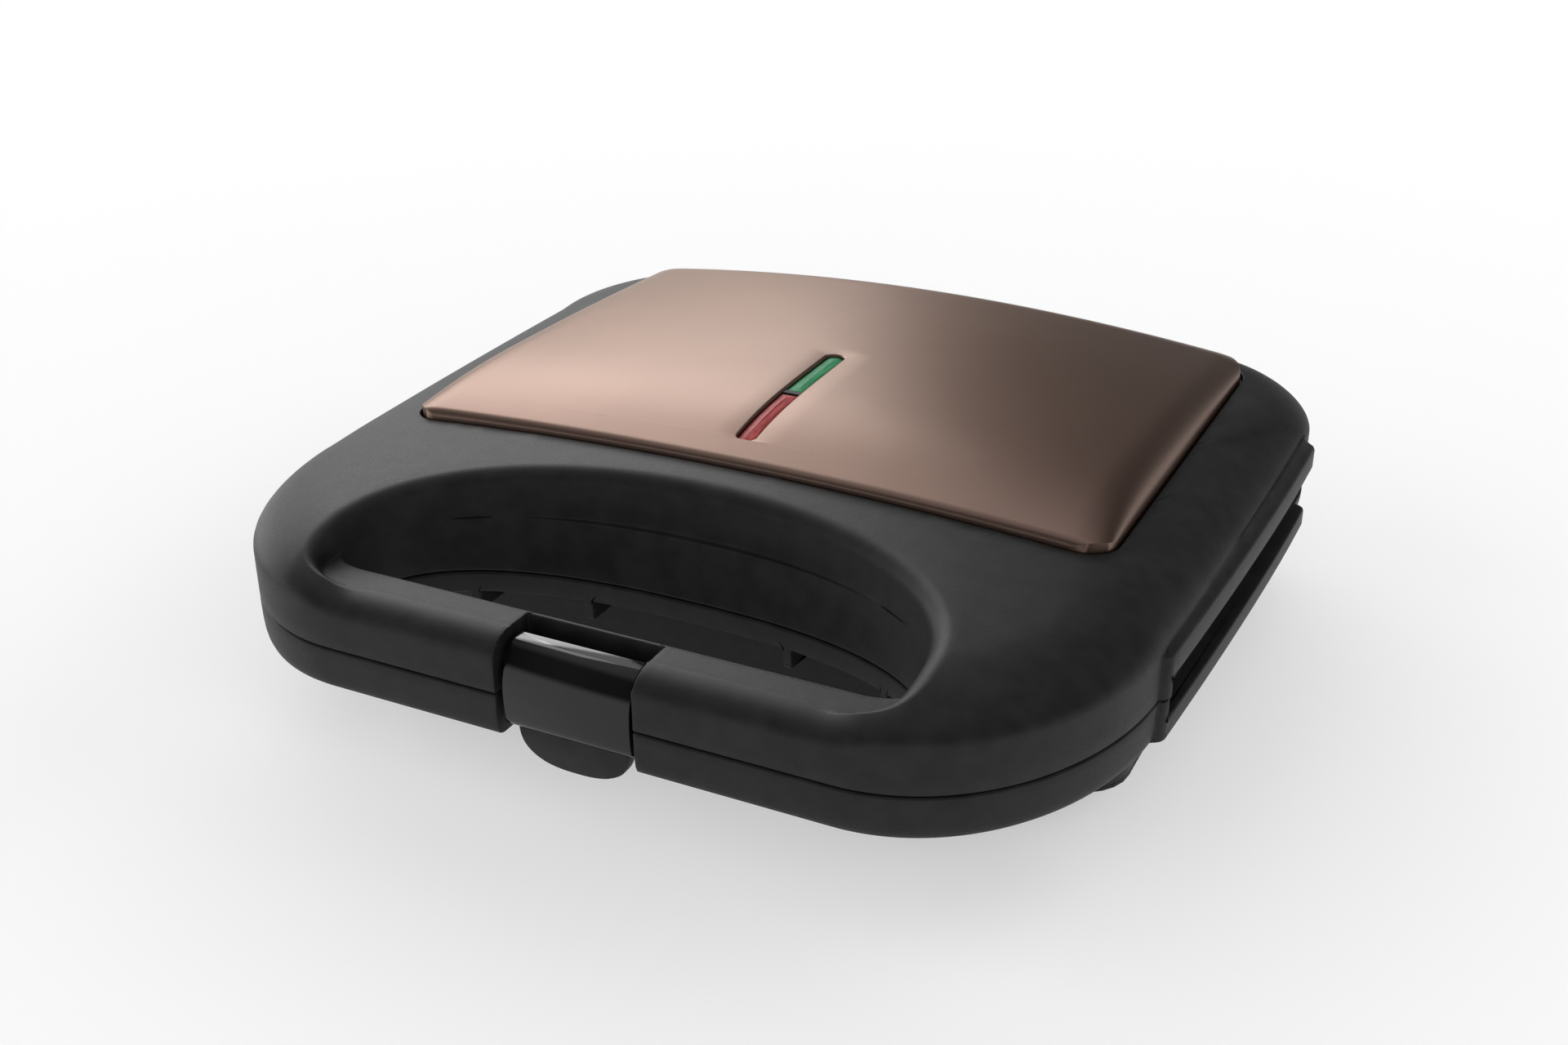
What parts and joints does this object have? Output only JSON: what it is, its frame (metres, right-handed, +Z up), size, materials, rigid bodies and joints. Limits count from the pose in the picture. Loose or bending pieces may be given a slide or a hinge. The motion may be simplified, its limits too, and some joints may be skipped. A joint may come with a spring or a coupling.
{
  "type": "sandwich toaster",
  "caption": "Low black sandwich toaster with a crowned bronze lid cover, a split loop handle with a swing latch, rear hinge and two cooking plates with triangular pockets.",
  "frame": {"origin": "centre of the bounding box at the level of the table the feet stand on", "axes": "+X to the right seen from the handle, -Y towards the handle, +Z up; lid closed"},
  "size_m": [0.2656, 0.257, 0.0798],
  "materials": {
    "housing_plastic": "fine-textured black moulded plastic",
    "rubber": "soft black rubber",
    "screw_steel": "zinc-plated steel",
    "nonstick_plate": "die-cast aluminium with dark grey non-stick coating",
    "element_steel": "sheathed heating tube, dull",
    "reflector_aluminium": "bright sheet aluminium",
    "thermostat_metal": "plated steel cap on a ceramic body",
    "terminal_plastic": "natural nylon",
    "bronze_trim": "bronze metallic coating, satin gloss",
    "lamp_holder_plastic": "black plastic",
    "lamp_glass": "clear neon lamp",
    "red_lens": "translucent red lens",
    "green_lens": "translucent green lens",
    "latch_gloss": "high-gloss black plastic"
  },
  "bodies": {
    "base": {"base_housing": "housing_plastic", "latch_catch": "housing_plastic", "cord_gland": "rubber", "bottom_cover": "housing_plastic", "cover_screws": "screw_steel", "feet": "rubber", "hinge_pins": "screw_steel", "lower_cooking_plate": "nonstick_plate", "lower_heating_element": "element_steel", "lower_heat_reflector": "reflector_aluminium", "lower_plate_screws": "screw_steel", "thermostat": "thermostat_metal", "terminal_block": "terminal_plastic"},
    "lid": {"lid_housing": "housing_plastic", "trim_cover": "bronze_trim", "lamp_holder": "lamp_holder_plastic", "lamps": "lamp_glass", "red_lens": "red_lens", "green_lens": "green_lens", "upper_cooking_plate": "nonstick_plate", "upper_heating_element": "element_steel", "upper_heat_reflector": "reflector_aluminium", "upper_plate_screws": "screw_steel", "thermal_fuse": "terminal_plastic", "latch_pin": "screw_steel"},
    "latch": {"latch_arm": "housing_plastic", "latch_cover": "latch_gloss"}
  },
  "joints": [
    {"name": "lid_hinge", "type": "hinge", "parent": "base", "child": "lid", "pos_m": [0, 0.1235, 0.042], "axis": [-1, 0, 0], "range_deg": [0, 105]},
    {"name": "latch_swing", "type": "hinge", "parent": "lid", "child": "latch", "pos_m": [0, -0.1195, 0.0492], "axis": [-1, 0, 0], "range_deg": [0, 60]}
  ]
}
